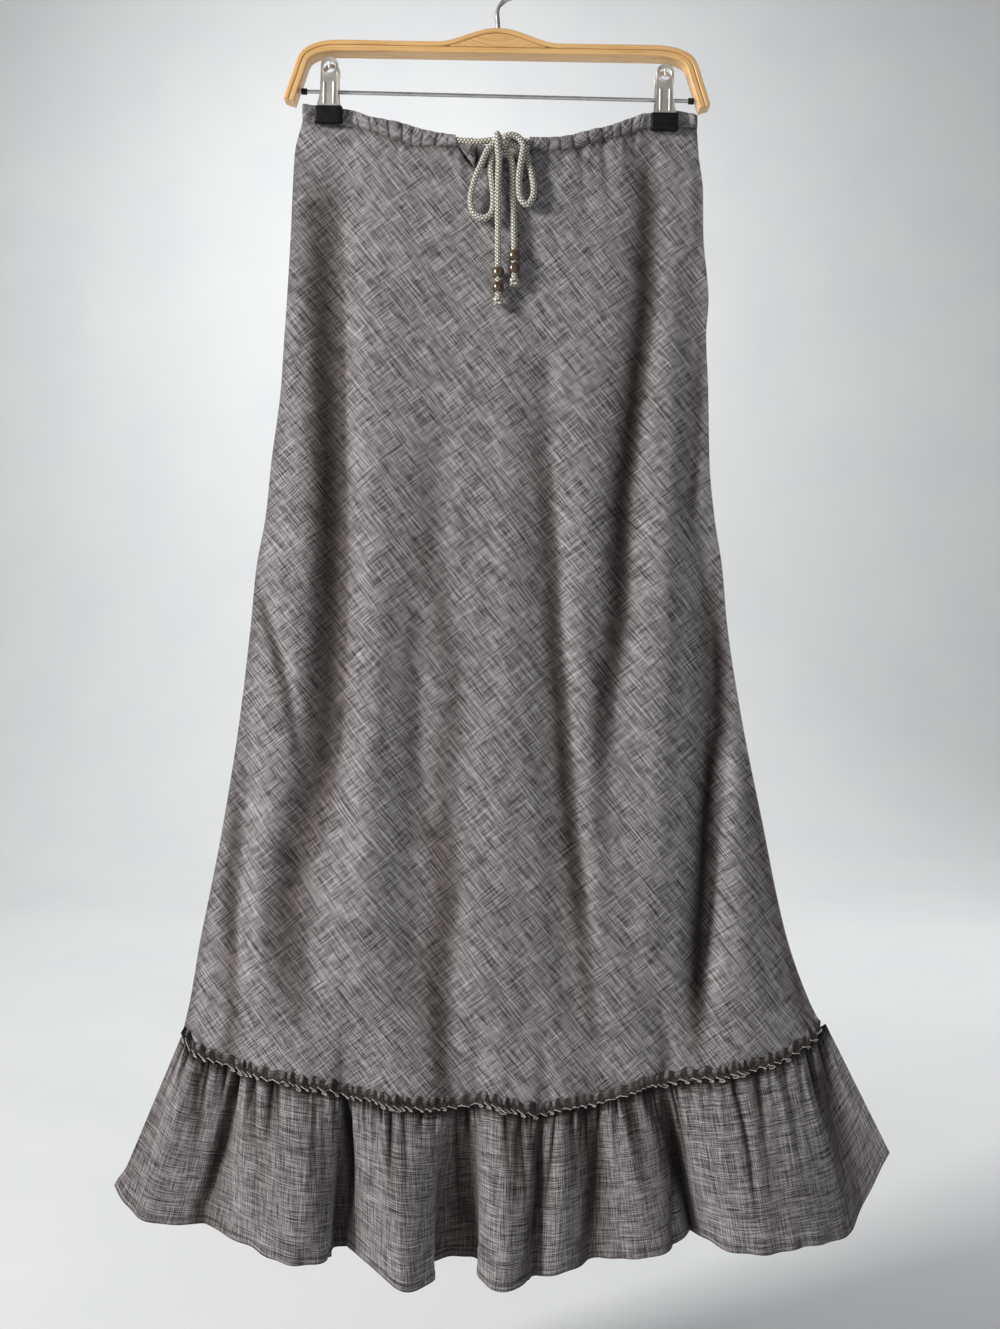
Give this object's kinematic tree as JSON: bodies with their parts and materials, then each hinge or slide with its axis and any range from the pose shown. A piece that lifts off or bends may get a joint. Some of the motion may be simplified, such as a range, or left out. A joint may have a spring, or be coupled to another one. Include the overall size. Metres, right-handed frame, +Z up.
{
  "type": "maxi skirt on a clip hanger",
  "caption": "Long bias-cut linen skirt with a drawstring waist, beaded cord ends and a gathered ruffle hem, hanging from a wooden clip hanger.",
  "frame": {"origin": "inner crown of the hanger's hook, where it rests on a rail", "axes": "+Z up, +X to the right as seen from the front, the front of the skirt faces -Y"},
  "size_m": [0.6819, 0.0914, 1.1496],
  "materials": {
    "linen": "matt heathered linen weave in taupe grey",
    "cord": "matt cream cotton braid",
    "bead_wood": "varnished brown wood",
    "hanger_wood": "clear varnished pale bent wood",
    "steel": "bright plated steel",
    "black_plastic": "black soft plastic"
  },
  "bodies": {
    "root": {"front_panel": "linen", "back_panel": "linen", "casing_front_left": "linen", "casing_front_right": "linen", "casing_back": "linen", "ruffle_front": "linen", "ruffle_back": "linen", "heading_front": "linen", "heading_back": "linen", "drawstring_lead_left": "cord", "drawstring_lead_right": "cord", "drawstring_loop_left": "cord", "drawstring_loop_right": "cord", "drawstring_tail_left": "cord", "drawstring_tail_right": "cord", "bow_knot": "cord", "stop_knot_left": "cord", "stop_knot_right": "cord", "bead_left_upper": "bead_wood", "bead_left_lower": "bead_wood", "bead_right_upper": "bead_wood", "bead_right_lower": "bead_wood", "bow_outer": "hanger_wood", "bow_inner": "hanger_wood", "bow_block": "hanger_wood", "hook": "steel", "bar": "steel", "clip_left_spring": "steel", "clip_right_spring": "steel", "clip_left_plate_front": "steel", "clip_left_plate_back": "steel", "clip_right_plate_front": "steel", "clip_right_plate_back": "steel", "bar_end_left": "black_plastic", "bar_end_right": "black_plastic", "clip_left_jaw_front": "black_plastic", "clip_left_jaw_back": "black_plastic", "clip_right_jaw_front": "black_plastic", "clip_right_jaw_back": "black_plastic"}
  },
  "joints": []
}
